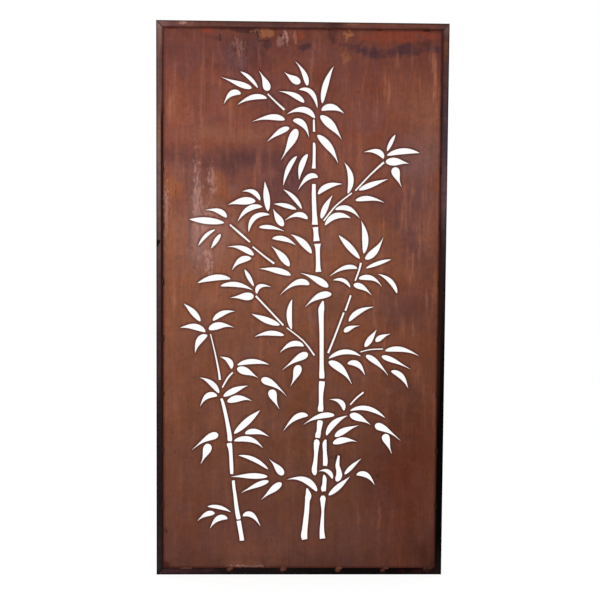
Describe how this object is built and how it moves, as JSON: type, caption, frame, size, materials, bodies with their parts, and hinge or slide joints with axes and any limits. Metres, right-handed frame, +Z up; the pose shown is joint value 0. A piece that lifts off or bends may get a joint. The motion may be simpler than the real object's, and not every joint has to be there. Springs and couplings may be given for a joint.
{
  "type": "laser cut metal screen",
  "caption": "Garden privacy screen panel: a thin rusted steel sheet with a bamboo pattern cut through it, welded into a slim frame of square tube.",
  "frame": {"origin": "on the floor under the middle of the bottom rail, half way through the tube's depth", "axes": "+Z up along the height, +X to the right across the width as seen from the front, +Y from the front to the back"},
  "size_m": [0.94, 0.0206, 1.8],
  "materials": {
    "rusted_sheet": "rough brown rust",
    "rusted_tube": "mill scale with rust",
    "weld_bead": "dark rusted weld"
  },
  "bodies": {
    "root": {"screen_sheet": "rusted_sheet", "frame_rail_top": "rusted_tube", "frame_rail_bottom": "rusted_tube", "frame_stile_left": "rusted_tube", "frame_stile_right": "rusted_tube", "corner_weld_top_left": "weld_bead", "corner_weld_top_right": "weld_bead", "corner_weld_bottom_left": "weld_bead", "corner_weld_bottom_right": "weld_bead", "stitch_welds_top": "weld_bead", "stitch_welds_bottom": "weld_bead", "stitch_welds_left": "weld_bead", "stitch_welds_right": "weld_bead"}
  },
  "joints": []
}
